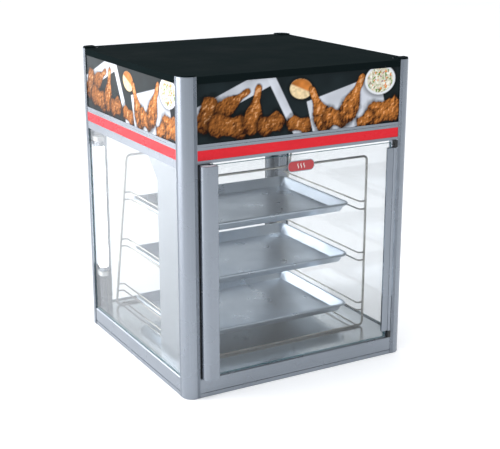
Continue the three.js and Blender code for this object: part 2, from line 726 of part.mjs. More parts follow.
function addThermostat() {
  const { z, knobX } = controls;
  const inner = panelBack - GAP;
  const shaftRadius = 3;
  const shaftEnd = controlFace + 12;
  const body = block(knobX - 18, knobX + 18, inner - 30, inner, z - 16, z + 16);
  const shaftSection = [[0, inner - 2], [shaftRadius, inner - 2], [shaftRadius, shaftEnd], [0, shaftEnd]];
  add('thermostat_body', unite([body, turned(shaftSection, knobX, z, 16)]), 'darkSteel');

  const tip = REAR + PROUD;
  const bore = shaftRadius + GAP;
  const knobSection = [
    [bore, fitting], [23, fitting], [23, fitting + 3], [17, fitting + 5], [16, tip - 1.5], [14.5, tip],
    [0, tip], [0, shaftEnd + 1], [bore, shaftEnd + 1], [bore, fitting],
  ];
  const pointer = block(knobX - 1, knobX + 1, tip - 8, tip - 2, z + 10, z + 18.5);
  add('thermostat_knob', unite([turned(knobSection, knobX, z, 32), pointer]), 'blackPlastic');
}

function addPowerSwitch() {
  const { z, switchX } = controls;
  const flange = block(switchX - 14, switchX + 14, fitting, fitting + 2, z - 18, z + 18);
  const body = block(switchX - 11, switchX + 11, fitting - 28, fitting + 1, z - 15, z + 15);
  const pocket = block(switchX - 8, switchX + 8, fitting - 12, fitting + 3, z - 12.5, z + 12.5);
  add('switch_body', cut(unite([flange, body]), [pocket]), 'blackPlastic');

  const outline = [[5.5, -11], [3.2, 0], [5.5, 11], [-0.5, 11], [-4, 3], [-4, -3], [-0.5, -11]];
  const rocker = alongX(shapeOf(outline), -7, 7);
  rocker.rotateX(THREE.MathUtils.degToRad(-8)).translate(switchX, fitting - 3, z);
  add('rocker_switch', rocker, 'blackPlastic');
}

function addIndicatorAndGland() {
  const { z, lensX, glandX, glandZ } = controls;
  const raised = ([radius, rise]) => [radius, fitting + rise];
  const dome = [[0, -12], [6, -12], [6, 0], [8, 0], [8, 1.5], [6.4, 4], [3.5, 5.6], [0, 6]];
  add('indicator_lamp', turned(dome.map(raised), lensX, z), 'amberLens');

  const sleeve = [
    [5, -14], [9, -14], [9, 0], [13, 0], [13, 5], [10.5, 6], [10, 12], [8, 15], [5, 15], [5, -14],
  ];
  add('cord_gland', turned(sleeve.map(raised), glandX, glandZ, 20), 'blackPlastic');
}

addPosts();
addSides();
addFloors();
addCeiling();
addTop();
addGlass();
addDoorGlass();
addHandle();
addHingeStile();
addHingeBlocks();
addSealAndCatch();
addRack();
addPans();
addDuct();
addLamp();
addBlower();
addHeater();
addBallast();
addControlPanel();
addThermostat();
addPowerSwitch();
addIndicatorAndGland();

export default hotCase;
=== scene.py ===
"""The looks of the hot food display case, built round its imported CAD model.
Metres, +Z up, +X to the right along the front, the door on the -Y side."""
import json
import math

import bmesh
import bpy
import numpy as np
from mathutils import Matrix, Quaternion, Vector
from mathutils.geometry import tessellate_polygon


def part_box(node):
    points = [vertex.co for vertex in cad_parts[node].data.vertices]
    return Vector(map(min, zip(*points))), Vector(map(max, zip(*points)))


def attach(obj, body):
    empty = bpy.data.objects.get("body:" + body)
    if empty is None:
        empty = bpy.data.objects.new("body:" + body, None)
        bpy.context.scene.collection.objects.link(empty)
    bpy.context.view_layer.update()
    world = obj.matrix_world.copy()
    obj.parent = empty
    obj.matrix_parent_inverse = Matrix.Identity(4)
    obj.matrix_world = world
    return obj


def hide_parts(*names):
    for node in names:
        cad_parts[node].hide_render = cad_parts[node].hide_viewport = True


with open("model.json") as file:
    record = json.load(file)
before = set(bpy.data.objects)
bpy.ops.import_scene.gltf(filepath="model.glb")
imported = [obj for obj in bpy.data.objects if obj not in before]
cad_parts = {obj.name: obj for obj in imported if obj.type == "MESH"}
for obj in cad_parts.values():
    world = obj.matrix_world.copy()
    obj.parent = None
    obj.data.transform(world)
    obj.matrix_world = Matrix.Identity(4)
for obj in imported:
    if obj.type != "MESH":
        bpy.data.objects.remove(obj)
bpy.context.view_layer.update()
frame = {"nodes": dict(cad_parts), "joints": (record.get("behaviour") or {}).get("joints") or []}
nodes = frame["nodes"]

MM = 0.001
UP = Vector((0, 0, 1))
LEFT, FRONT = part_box("post_front_left")[0].xy


# Materials


class Surface:
    """A Principled material, with short calls for the nodes that vary it. Further sockets are given by
    name, such as coat_weight. Object coordinates are metres."""

    def __init__(self, name, colour, roughness, metallic=0.0, **sockets):
        self.material = bpy.data.materials.new(name)
        self.material.use_nodes = True
        self.tree = self.material.node_tree
        self.shader = self.tree.nodes["Principled BSDF"]
        self.colour = (*colour, 1.0)
        self.set("Base Color", self.colour)
        self.set("Roughness", roughness)
        self.set("Metallic", metallic)
        for socket, value in sockets.items():
            self.set(socket.replace("_", " ").title().replace("Ior", "IOR"), value)

    def set(self, socket, value):
        """Sets a Principled socket by its name."""
        self.shader.inputs[socket].default_value = value

    def node(self, kind, **inputs):
        """A new node, its inputs fed from links or values."""
        made = self.tree.nodes.new("ShaderNode" + kind)
        for socket, value in inputs.items():
            self.feed(made.inputs[socket.replace("_", " ")], value)
        return made

    def feed(self, socket, value):
        """Links the socket to another node's output, or sets its value."""
        if isinstance(value, bpy.types.NodeSocket):
            self.tree.links.new(value, socket)
        else:
            socket.default_value = value

    def math(self, operation, *values):
        """The result of one operation of a Math node."""
        made = self.node("Math")
        made.operation = operation
        for socket, value in zip(made.inputs, values):
            self.feed(socket, value)
        return made.outputs["Value"]

    def noise(self, scale, detail=3.0, roughness=0.55):
        """Noise with its own scale, in cycles per metre, along each axis."""
        place = self.node("TexCoord").outputs["Object"]
        stretched = self.node("Mapping", Vector=place, Scale=scale).outputs["Vector"]
        texture = self.node("TexNoise", Vector=stretched, Scale=1.0, Detail=detail, Roughness=roughness)
        return texture.outputs["Fac"]

    def between(self, factor, low, high):
        """Factor's usual range, 0.3 to 0.7, spread from low to high."""
        spread = self.node("MapRange", Value=factor)
        for socket, value in (("From Min", 0.3), ("From Max", 0.7), ("To Min", low), ("To Max", high)):
            spread.inputs[socket].default_value = value
        return spread.outputs["Result"]

    def vary_roughness(self, factor, low, high):
        """Roughness that follows the factor from low to high."""
        self.feed(self.shader.inputs["Roughness"], self.between(factor, low, high))

    def vary_colour(self, factor, other):
        """Colour that follows the factor from the surface's own to the other."""
        mix = self.node("Mix")
        mix.data_type = "RGBA"
        self.feed(mix.inputs[0], self.between(factor, 0.0, 1.0))
        self.feed(mix.inputs[6], self.colour)
        self.feed(mix.inputs[7], (*other, 1.0))
        self.feed(self.shader.inputs["Base Color"], mix.outputs[2])

    def bump(self, height, distance, strength=1.0):
        """Relief whose height runs over the given distance, in metres."""
        made = self.node("Bump", Height=height, Distance=distance, Strength=strength)
        self.feed(self.shader.inputs["Normal"], made.outputs["Normal"])


def grain_scale(axis, fine, coarse):
    """Noise scales for a grain that runs along the axis."""
    scale = [fine, fine, fine]
    scale["XYZ".index(axis)] = coarse
    return scale


def satin_aluminium(axis):
    """Anodised extrusion: fine die lines along the axis, and soft cloudy handling marks."""
    colour = (0.26, 0.288, 0.325)
    roughness = 0.26
    surface = Surface("satin_aluminium_" + axis.lower(), colour, roughness, metallic=1.0)
    lines = surface.noise(grain_scale(axis, 900, 4), detail=2)
    clouds = surface.noise((9, 9, 9), detail=4)
    surface.vary_roughness(clouds, roughness - 0.05, roughness + 0.07)
    surface.vary_colour(lines, [0.93 * c for c in colour])
    surface.bump(lines, 0.03 * MM)
    return surface.material


def brushed_steel(name, axis, colour, roughness):
    """Sheet steel brushed along the axis."""
    surface = Surface(name, colour, roughness, metallic=1.0)
    brushing = surface.noise(grain_scale(axis, 1400, 12), detail=4)
    stains = surface.noise((6, 6, 6), detail=5, roughness=0.6)
    surface.vary_roughness(stains, roughness - 0.04, roughness + 0.08)
    surface.vary_colour(brushing, [0.88 * c for c in colour])
    surface.bump(brushing, 0.04 * MM)
    return surface.material


def pan_aluminium():
    """Drawn sheet with the dull patches and fine scratches of washing."""
    surface = Surface("pan_aluminium", (0.64, 0.71, 0.79), 0.3, metallic=1.0)
    scratches = surface.noise((70, 900, 300), detail=5, roughness=0.7)
    patches = surface.noise((14, 14, 14), detail=5)
    surface.vary_roughness(patches, 0.24, 0.42)
    surface.vary_colour(patches, (0.56, 0.63, 0.70))
    surface.bump(scratches, 0.04 * MM)
    return surface.material


def chrome_wire():
    """Plated wire, a little duller and warmer where it has been handled."""
    surface = Surface("chrome_wire", (0.46, 0.45, 0.41), 0.16, metallic=1.0)
    wear = surface.noise((30, 30, 30), detail=4)
    surface.vary_roughness(wear, 0.08, 0.26)
    surface.vary_colour(wear, (0.34, 0.325, 0.29))
    return surface.material


def painted(name, colour, roughness):
    """Paint or powder coat: a faint orange peel, and dust that dulls it in patches. The specular level
    is low because the top is seen at a slant, where any more would turn the black grey."""
    surface = Surface(name, colour, roughness, specular_ior_level=0.0006)
    dust = surface.noise((7, 7, 7), detail=5)
    surface.vary_roughness(dust, roughness - 0.06, roughness + 0.1)
    surface.vary_colour(dust, [c * 1.2 for c in colour])
    surface.bump(surface.noise((420, 420, 420), detail=2), 0.06 * MM)
    return surface.material


def plastic(name, colour, roughness):
    """Moulded plastic with a fine spark-eroded texture."""
    surface = Surface(name, colour, roughness)
    texture = surface.noise((2600, 2600, 2600), detail=2)
    surface.vary_roughness(surface.noise((40, 40, 40)), roughness - 0.05, roughness + 0.08)
    surface.vary_colour(texture, [0.85 * c for c in colour])
    surface.bump(texture, 0.04 * MM)
    return surface.material


def stripe_film():
    """Red film with slight waves where it was laid down."""
    surface = Surface("stripe_film", (0.70, 0.020, 0.032), 0.3, specular_ior_level=0.12)
    waves = surface.noise((18, 18, 60), detail=3)
    surface.vary_roughness(waves, 0.24, 0.38)
    surface.vary_colour(waves, (0.64, 0.018, 0.028))
    surface.bump(waves, 0.05 * MM, strength=0.5)
    return surface.material


def printed_sheet():
    """A printed plastic sheet: the picture is in the mesh's colours, under a smooth clear face."""
    surface = Surface("printed_sheet", (0.02, 0.03, 0.03), 0.3, specular_ior_level=0.06)
    picture = surface.node("VertexColor")
    picture.layer_name = "picture"
    surface.feed(surface.shader.inputs["Base Color"], picture.outputs["Color"])
    surface.vary_roughness(surface.noise((12, 12, 12)), 0.26, 0.36)
    return surface.material


def clear_glass():
    """A polished face: mostly what is behind it, with the mirror that glass gives at a slant."""
    surface = Surface("clear_glass", (1, 1, 1), 0.0)
    tree = surface.tree
    tree.nodes.remove(surface.shader)
    through = surface.node("BsdfTransparent", Color=(0.898, 0.905, 0.908, 1.0))
    mirror = surface.node("BsdfGlossy", Color=(0.95, 0.98, 1.0, 1.0))
    surface.feed(mirror.inputs["Roughness"], surface.between(surface.noise((5, 5, 5), detail=5), 0.0, 0.03))
    face_on = 0.04
    slant = surface.math("POWER", surface.node("LayerWeight", Blend=0.5).outputs["Facing"], 5.0)
    share = surface.math("MULTIPLY_ADD", slant, 1 - face_on, face_on)
    mix = surface.node("MixShader", Fac=share)
    surface.feed(mix.inputs[1], through.outputs[0])
    surface.feed(mix.inputs[2], mirror.outputs[0])
    surface.feed(tree.nodes["Material Output"].inputs["Surface"], mix.outputs[0])
    return surface.material


def glass_edge():
    """The ground edge of a pane, where its own green-blue gathers."""
    surface = Surface("glass_edge", (0.045, 0.13, 0.15), 0.25)
    ground = surface.noise((300, 300, 300), detail=3)
    surface.vary_roughness(ground, 0.2, 0.4)
    surface.vary_colour(ground, (0.09, 0.21, 0.24))
    return surface.material


def lamp_glow():
    """The lit tube, with a slightly uneven coating."""
    surface = Surface("lamp_glow", (0.95, 0.95, 0.93), 0.25)
    coating = surface.noise((60, 60, 25), detail=3)
    surface.vary_colour(coating, (0.90, 0.90, 0.89))
    surface.set("Emission Color", (1.0, 0.985, 0.96, 1.0))
    surface.set("Emission Strength", 4.0)
    return surface.material


def lens():
    """Finely textured amber plastic under a clear face."""
    surface = Surface("amber_lens", (0.75, 0.28, 0.03), 0.12, coat_weight=0.5, coat_roughness=0.05)
    texture = surface.noise((900, 900, 900), detail=1)
    surface.vary_colour(texture, (0.62, 0.2, 0.02))
    surface.bump(texture, 0.1 * MM)
    return surface.material


def enamel(name, colour):
    """A filled and lacquered colour, as on a badge."""
    surface = Surface(name, colour, 0.2, coat_weight=0.5, coat_roughness=0.08)
    surface.vary_colour(surface.noise((220, 220, 220)), [0.9 * c for c in colour])
    surface.bump(surface.noise((500, 500, 500), detail=1), 0.02 * MM)
    return surface.material


aluminium = {axis: satin_aluminium(axis) for axis in "XYZ"}
floor_steel = brushed_steel("floor_steel", "X", (0.72, 0.76, 0.78), 0.16)
duct_steel = brushed_steel("duct_steel", "Z", (0.35, 0.38, 0.41), 0.36)
pan_metal = pan_aluminium()
chrome = chrome_wire()
black_paint = painted("black_paint", (0.005, 0.0085, 0.009), 0.42)
grey_paint = painted("grey_paint", (0.09, 0.095, 0.1), 0.45)
black_plastic = plastic("black_plastic", (0.008, 0.010, 0.011), 0.45)
white_plastic = plastic("white_plastic", (0.78, 0.77, 0.74), 0.4)
grey_plastic = plastic("grey_plastic", (0.55, 0.56, 0.60), 0.4)
red_film = stripe_film()
print_sheet = printed_sheet()
glass = clear_glass()
pane_edge = glass_edge()
lamp_coating = lamp_glow()
amber = lens()
red_enamel = enamel("red_enamel", (0.42, 0.012, 0.02))
white_enamel = enamel("white_enamel", (0.82, 0.82, 0.80))


def paint_cad_nodes():
    """The CAD nodes that stay in view as they are, each with its material."""
    chosen = {"top_panel": black_paint, "control_panel_rear": black_paint, "floor_pan": floor_steel,
              "bottom_cover": duct_steel, "ceiling_panel": duct_steel, "air_duct": duct_steel,
              "rear_channel_left": aluminium["Z"], "rear_channel_right": aluminium["Z"],
              "blower_housing": grey_paint, "fan_wheel": duct_steel, "fan_motor": grey_paint,
              "heating_element": grey_paint, "lamp_ballast": grey_paint, "thermostat_body": grey_paint}
    for side in ("front", "rear", "left", "right"):
        along = aluminium["X" if side in ("front", "rear") else "Y"]
        chosen["base_rail_" + side] = along
        chosen["header_rail_" + side] = along
        chosen["red_stripe_" + side] = red_film
    for node in ("door_seal", "door_catch", "hinge_block_bottom", "hinge_block_top", "switch_body",
                 "rocker_switch"):
        chosen[node] = black_plastic
    for node, material in chosen.items():
        for material_slot in nodes[node].material_slots:
            material_slot.material = material


# Shapes


def piece_of(name, points, faces, materials, stands_for=(), body="case", slot=None, sharp=35):
    """A piece from its points and faces, smooth but for edges sharper than the given degrees."""
    mesh = bpy.data.meshes.new(name)
    mesh.from_pydata([tuple(p) for p in points], [], faces)
    shape = bmesh.new()
    shape.from_mesh(mesh)
    bmesh.ops.remove_doubles(shape, verts=shape.verts, dist=0.001 * MM)
    bmesh.ops.recalc_face_normals(shape, faces=shape.faces)
    shape.to_mesh(mesh)
    shape.free()
    mesh.shade_smooth()
    mesh.set_sharp_from_angle(angle=math.radians(sharp))
    for material in materials:
        mesh.materials.append(material)
    return placed(bpy.data.objects.new(name, mesh), stands_for, body)


def placed(piece, stands_for, body):
    """Links the piece, rides it on its body, and lets it stand for its CAD nodes."""
    bpy.context.scene.collection.objects.link(piece)
    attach(piece, body)
    if stands_for:
        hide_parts(*stands_for)
    return piece


def bevel(piece, width, segments=2):
    """Rounds the piece's sharp edges."""
    made = piece.modifiers.new("edges", "BEVEL")
    made.width = width
    made.segments = segments
    made.limit_method = "ANGLE"
    made.angle_limit = math.radians(40)
    made.harden_normals = True


def centre_of(node):
    """The middle of a CAD node's box."""
    low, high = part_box(node)
    return (low + high) / 2


def flat(pairs):
    """Outline points given in millimetres, as vectors in metres."""
    return [Vector((x * MM, y * MM, 0)) for x, y in pairs]


def rectangle(left, near, right, far):
    """The corners of a rectangle, anticlockwise from the lower left."""
    return [Vector((x, y, 0)) for x, y in ((left, near), (right, near), (right, far), (left, far))]


def arc(radius, first, last, steps):
    """Points on an arc round the origin, both ends included."""
    return [radius * Vector((math.cos(a), math.sin(a), 0)) for a in np.linspace(first, last, steps + 1)]


def circle(radius, steps):
    """Points on a whole circle round the origin."""
    return arc(radius, 0, 2 * math.pi, steps)[:-1]


def rounded(corners, radii, steps, closed=True):
    """A path through the corners, each rounded to its radius. A radius of 0 leaves the corner as it is."""
    points = []
    count = len(corners)
    radii = radii if isinstance(radii, (list, tuple)) else [radii] * count
    for i, (corner, radius) in enumerate(zip(corners, radii)):
        if radius == 0 or (not closed and i in (0, count - 1)):
            points.append(corner.copy())
            continue
        back = (corners[i - 1] - corner).normalized()
        ahead = (corners[(i + 1) % count] - corner).normalized()
        half = back.angle(ahead) / 2
        centre = corner + (back + ahead).normalized() * radius / math.sin(half)
        start = corner + back * radius / math.tan(half) - centre
        axis = back.cross(ahead)
        for step in range(steps + 1):
            turn = Quaternion(-axis, (math.pi - 2 * half) * step / steps)
            points.append(centre + turn @ start)
    return points


def prism(loops, low, high):
    """Points and faces of an upright prism. The first loop is its outline and the others are holes."""
    loops = [[Vector((p.x, p.y, 0)) for p in loop] for loop in loops]
    level = [p for loop in loops for p in loop]
    count = len(level)
    points = [p + UP * z for z in (low, high) for p in level]
    faces = []
    start = 0
    for loop in loops:
        for i in range(len(loop)):
            a = start + i
            b = start + (i + 1) % len(loop)
            faces.append((a, b, b + count, a + count))
        start += len(loop)
    for a, b, c in tessellate_polygon(loops):
        faces += [(a, b, c), (a + count, b + count, c + count)]
    return points, faces


def lofted(rings):
    """Points and faces of a solid through equal closed rings, capped at both ends."""
    count = len(rings[0])
    points = [p for ring in rings for p in ring]
    faces = []
    for start in range(0, len(points) - count, count):
        for i in range(count):
            a = start + i
            b = start + (i + 1) % count
            faces.append((a, b, b + count, a + count))
    faces += [tuple(range(count)), tuple(range(len(points) - count, len(points)))]
    return points, faces


def turned(section, steps=48):
    """Points and faces of a solid turned round Z from [radius, height] points, in millimetres."""
    rings = [[p + UP * height * MM for p in circle(radius * MM, steps)] for radius, height in section]
    return lofted(rings)


def joined(parts):
    """Several (points, faces) as one."""
    points, faces = [], []
    for part_points, part_faces in parts:
        faces += [tuple(i + len(points) for i in face) for face in part_faces]
        points += part_points
    return points, faces


def moved(part, offset, turn=Quaternion()):
    """(points, faces), turned about the origin and then shifted."""
    points, faces = part
    return [turn @ p + Vector(offset) for p in points], faces


# Frame

# A post's section, in millimetres from its outer corner.
POST_SIDE = 35
POST_RADIUS = 26
POST_WALL = 3
SIDE_SLOT = (2.7, 8.3)
SIDE_SLOT_END = 27
HOLLOW_START = 10.5

# The signs that point from each outer corner of the case to its middle.
CORNERS = {"front_left": (1, 1), "front_right": (-1, 1), "rear_left": (1, -1), "rear_right": (-1, -1)}


def at_corner(points, signs):
    """Points measured inward from the case's outer corner, put at the corner with these signs."""
    sx, sy = signs
    return [Vector((sx * (LEFT + p.x), sy * (FRONT + p.y), 0)) for p in points]


def flute(at):
    """A round-bottomed flute 2 mm wide, as [along, into] pairs that run towards the corner."""
    half_width = 1.0
    depth = 1.2
    steps = 4
    angles = [math.pi * step / steps for step in range(steps + 1)]
    return [(at + half_width * math.cos(angle), depth * math.sin(angle)) for angle in angles]


def post_outline():
    """Round at the case's corner, fluted on every face, with a slot for the side glass."""
    outer = [pair for at in (33, 30.5, 28) for pair in flute(at)]
    inner = [pair for at in (27, 21, 15) for pair in flute(at)]
    centre = radius = POST_RADIUS
    angles = np.linspace(1.5 * math.pi, math.pi, 25)
    nose = [(centre + radius * math.cos(a), centre + radius * math.sin(a)) for a in angles]
    side = [(into, along) for along, into in reversed(outer)]
    slot_left, slot_right = SIDE_SLOT
    slot = [(0, POST_SIDE), (slot_left, POST_SIDE), (slot_left, SIDE_SLOT_END),
            (slot_right, SIDE_SLOT_END), (slot_right, POST_SIDE)]
    back = [(along, POST_SIDE - into) for along, into in reversed(inner)]
    inward = [(POST_SIDE - into, along) for along, into in inner]
    return flat([(POST_SIDE, 0), *outer, *nose, *side, *slot, *back, (POST_SIDE, POST_SIDE), *inward])


def square(near, far):
    """A square between two distances from the post's outer corner, in millimetres."""
    return flat([(near, near), (far, near), (far, far), (near, far)])


def add_posts():
    """The four hollow posts, each under its cap."""
    cap_inset = 1.5
    cap_radius = 23
    for corner, signs in CORNERS.items():
        node = "post_" + corner
        low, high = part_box(node)
        outline = at_corner(post_outline(), signs)
        hollow = at_corner(rounded(square(HOLLOW_START, POST_SIDE - POST_WALL), 2 * MM, 3), signs)
        points, faces = prism([outline, hollow], low.z, high.z)
        piece_of(node + "_detail", points, faces, [aluminium["Z"]], [node], slot="satin_aluminium",
                 sharp=50)

        cap_node = "post_cap_" + corner
        low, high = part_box(cap_node)
        radii = [cap_radius * MM, 0, 2 * MM, 0]
        shape = rounded(square(cap_inset, POST_SIDE - cap_inset), radii, 14)
        points, faces = prism([at_corner(shape, signs)], low.z, high.z)
        cap = piece_of(cap_node + "_detail", points, faces, [black_paint], [cap_node], slot="black_plastic")
        bevel(cap, 0.7 * MM, 3)


# Glazing


def add_pane(node, body="case"):
    """A pane with ground edges: the two faces are clear and the edges show the glass's own colour."""
    low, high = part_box(node)
    size = high - low
    thin = min(range(3), key=lambda axis: size[axis])
    points = [Vector((x, y, z)) for x in (low.x, high.x) for y in (low.y, high.y) for z in (low.z, high.z)]
    faces = [(0, 1, 3, 2), (4, 6, 7, 5), (0, 4, 5, 1), (2, 3, 7, 6), (0, 2, 6, 4), (1, 5, 7, 3)]
    pane = piece_of(node + "_pane", points, faces, [glass, pane_edge], [node], body, "clear_glass")
    for polygon in pane.data.polygons:
        polygon.material_index = 0 if abs(polygon.normal[thin]) > 0.9 else 1
    bevel(pane, 0.7 * MM)
    pane.modifiers["edges"].material = 1


# Door

# The slot that the handle and the hinge stile hold the glass in, in millimetres behind the case's front.
DOOR_SLOT = (0.7, 6.3)


def add_handle():
    """The pull handle: a hollow extrusion with a round nose and a flat front, plugged at both ends."""
    low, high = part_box("door_handle")
    width = 38
    proud = 20
    back = 9
    wall = 3
    nose = 14
    slot_end = 26
    slot_front, slot_rear = DOOR_SLOT
    outer = flat([(0, back), (0, -proud), (width, -proud), (width, slot_front), (slot_end, slot_front),
                  (slot_end, slot_rear), (width, slot_rear), (width, back)])
    inner = flat([(wall, back - wall), (wall, wall - proud), (width - wall, wall - proud),
                  (width - wall, slot_front - wall), (slot_end - wall, slot_front - wall),
                  (slot_end - wall, back - wall)])
    outline = rounded(outer, [r * MM for r in (1, nose, 3, 0.4, 0, 0, 0.4, 1)], 12)
    hollow = rounded(inner, [r * MM for r in (1, nose - wall, 1.5, 1, 1, 1)], 10)
    offset = Vector((low.x, FRONT, 0))
    outline, hollow = ([p + offset for p in loop] for loop in (outline, hollow))
    points, faces = prism([outline, hollow], low.z, high.z)
    piece_of("door_handle_detail", points, faces, [aluminium["Z"]], ["door_handle"], "door",
             "satin_aluminium")
    plug_inset = 0.3 * MM
    plug_height = 4 * MM
    starts = (low.z + plug_inset, high.z - plug_inset - plug_height)
    plugs = joined([prism([hollow], start, start + plug_height) for start in starts])
    piece_of("door_handle_plugs", *plugs, [grey_plastic], body="door", slot="white_plastic")


def add_hinge_stile():
    """The stile that clamps the glass on the hinge side, with the round barrel that turns on the pins."""
    low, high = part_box("door_hinge_stile")
    pivot = Vector(frame["joints"][0]["pos_m"])
    radius = high.x - pivot.x
    plate_front = pivot.y - 1 * MM
    plate_right = pivot.x - 3.5 * MM
    lip_left = low.x + 4 * MM
    slot_end = low.x + 12 * MM
    slot_front, slot_rear = [FRONT + y * MM for y in DOOR_SLOT]
    first = math.pi + math.asin((pivot.y - plate_front) / radius)
    last = 2 * math.pi + math.acos((plate_right - pivot.x) / radius)
    barrel = [pivot + p for p in arc(radius, first, last, 32)]
    outline = [
        Vector((low.x, plate_front, 0)), *barrel,
        Vector((plate_right, high.y, 0)), Vector((lip_left, high.y, 0)),
        Vector((lip_left, slot_rear, 0)), Vector((slot_end, slot_rear, 0)),
        Vector((slot_end, slot_front, 0)), Vector((low.x, slot_front, 0)),
    ]
    bore = [pivot + p for p in circle(2.5 * MM, 24)]
    points, faces = prism([outline, bore], low.z, high.z)
    piece_of("hinge_stile_detail", points, faces, [aluminium["Z"]], ["door_hinge_stile"], "door",
             "satin_aluminium")


def wave(centre_x, centre_z, y):
    """A rising wavy ribbon, the usual sign for warmth, standing proud of the badge."""
    height = 12 * MM
    swing = 1.3 * MM
    half_width = 0.9 * MM
    proud = 0.3 * MM
    steps = 16
    points = []
    for step in range(steps + 1):
        along = step / steps
        x = centre_x + swing * math.sin(2 * math.pi * along)
        z = centre_z + (along - 0.5) * height
        width = half_width * (0.5 + 0.5 * math.sin(math.pi * along))
        points += [Vector((x + side * width, y + depth, z)) for side in (-1, 1) for depth in (0, proud)]
    faces = []
    for start in range(0, 4 * steps, 4):
        for a, b in ((0, 1), (1, 3), (3, 2), (2, 0)):
            faces.append((start + a, start + b, start + 4 + b, start + 4 + a))
    last = 4 * steps
    faces += [(0, 2, 3, 1), (last, last + 1, last + 3, last + 2)]
    return points, faces


def add_badge():
    """A satin plate with a raised border round a red field, and three plain warmth waves."""
    low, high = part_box("badge")
    centre = centre_of("badge")
    half = (high - low) / 2
    stand = Quaternion((1, 0, 0), math.pi / 2)

    def plate(inset, y_near, y_far, radius):
        x = half.x - inset
        z = half.z - inset
        outline = rounded(rectangle(-x, -z, x, z), radius, 8)
        return moved(prism([outline], -y_far, -y_near), (centre.x, 0, centre.z), stand)

    backing = plate(0, low.y + 0.4 * MM, high.y, 12 * MM)
    border = piece_of("badge_plate", *backing, [aluminium["X"]], ["badge"], "door", "badge_plate")
    bevel(border, 0.3 * MM)
    enamelled = plate(1.8 * MM, low.y + 0.15 * MM, low.y + 0.6 * MM, 10 * MM)
    field = piece_of("badge_field", *enamelled, [red_enamel], body="door", slot="red_stripe")
    bevel(field, 0.2 * MM)
    waves = joined([wave(centre.x + shift, centre.z, low.y) for shift in (-8 * MM, 0, 8 * MM)])
    piece_of("badge_waves", *waves, [white_enamel], body="door", slot="white_plastic")


# Rack and pans

TIERS = ("bottom", "middle", "top")
LOOP_WIRE = 3 * MM
RAIL_WIRE = 2 * MM


def tube_set(name, routes, material, stands_for):
    """One piece of round wire, from (path, radius, closed) routes."""
    curve = bpy.data.curves.new(name, "CURVE")
    curve.dimensions = "3D"
    curve.bevel_depth = LOOP_WIRE
    curve.bevel_resolution = 6
    curve.use_fill_caps = True
    for path, radius, closed in routes:
        spline = curve.splines.new("POLY")
        spline.points.add(len(path) - 1)
        for point, place in zip(spline.points, path):
            point.co = (*place, 1)
            point.radius = radius / LOOP_WIRE
        spline.use_cyclic_u = closed
    curve.materials.append(material)
    outline = bpy.data.objects.new(name + "_curve", curve)
    bpy.context.scene.collection.objects.link(outline)
    graph = bpy.context.evaluated_depsgraph_get()
    mesh = bpy.data.meshes.new_from_object(outline.evaluated_get(graph))
    bpy.data.objects.remove(outline)
    mesh.shade_smooth()
    mesh.set_sharp_from_angle(angle=math.radians(50))
    placed(bpy.data.objects.new(name, mesh), stands_for, "case")


def add_rack():
    """Two welded loops, the rear one leaning forward, joined by two wires on each side of each pan."""
    low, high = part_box("wire_rack")
    centre_x = centre_of("wire_rack").x
    half = (high.x - low.x) / 2 - LOOP_WIRE
    foot = low.z + LOOP_WIRE
    height = high.z - LOOP_WIRE - foot
    front, rear = low.y + LOOP_WIRE, high.y - LOOP_WIRE
    lean = math.radians(13)
    rail_reach = 17 * MM
    rim_and_gap = 7.3 * MM
    pair_pitch = 20.3 * MM
    weld = 1 * MM
    routes = []
    for y, tilt in ((front, 0), (rear, lean)):
        rise = Vector((0, -math.sin(tilt), math.cos(tilt))) * height
        lower = [Vector((centre_x + side * half, y, foot)) for side in (-1, 1)]
        loop = [lower[0], lower[1], lower[1] + rise, lower[0] + rise]
        routes.append((rounded(loop, 11 * MM, 8), LOOP_WIRE, True))
    for side in (-1, 1):
        outer = centre_x + side * half
        inner = centre_x + side * (half - rail_reach)
        for tier in TIERS:
            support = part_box("pan_" + tier)[1].z - rim_and_gap - RAIL_WIRE
            for z in (support, support + pair_pitch):
                back = rear - (z - foot) * math.tan(lean)
                ends = ((outer, front), (inner, front), (inner, back), (outer, back))
                path = [Vector((x, y, z)) for x, y in ends]
                routes.append((rounded(path, 8 * MM, 6, closed=False), RAIL_WIRE, False))
        tie_x = inner - side * 4 * MM
        tie_z = foot + LOOP_WIRE + RAIL_WIRE - weld
        tie = [Vector((tie_x, front - weld, tie_z)), Vector((tie_x, rear + weld, tie_z))]
        routes.append((tie, RAIL_WIRE, False))
    tube_set("wire_rack_detail", routes, chrome, ["wire_rack"])


def pan_section():
    """A pan's wall, as [inset, -depth] from the outer edge of its rim: underside, rolled bead, inside."""
    bead_radius = 3.5
    bead = arc(bead_radius * MM, math.radians(-55), math.radians(-330), 17)
    bead_centre = Vector((bead_radius, -bead_radius, 0)) * MM
    outer = rounded(flat([(60, -25), (20, -25), (7.6, -5.8)]), 5 * MM, 6, closed=False)
    inner = rounded(flat([(8.6, -5.0), (20.6, -23.9), (60, -23.9)]), 4 * MM, 6, closed=False)
    return outer + [bead_centre + p for p in bead] + inner


def add_pans():
    """Drawn sheet pans: a rounded foot, a flared wall and a rolled rim."""
    rim_corner = 24 * MM
    least_corner = 4 * MM
    for tier in TIERS:
        node = "pan_" + tier
        low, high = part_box(node)
        centre = centre_of(node)
        half = (high - low) / 2
        rings = []
        for p in pan_section():
            x = half.x - p.x
            y = half.y - p.x
            ring = rounded(rectangle(-x, -y, x, y), max(rim_corner - p.x, least_corner), 9)
            level = Vector((centre.x, centre.y, high.z + p.y))
            rings.append([q + level for q in ring])
        piece_of(node + "_detail", *lofted(rings), [pan_metal], [node], node, "pan_aluminium", sharp=40)


# Lamp


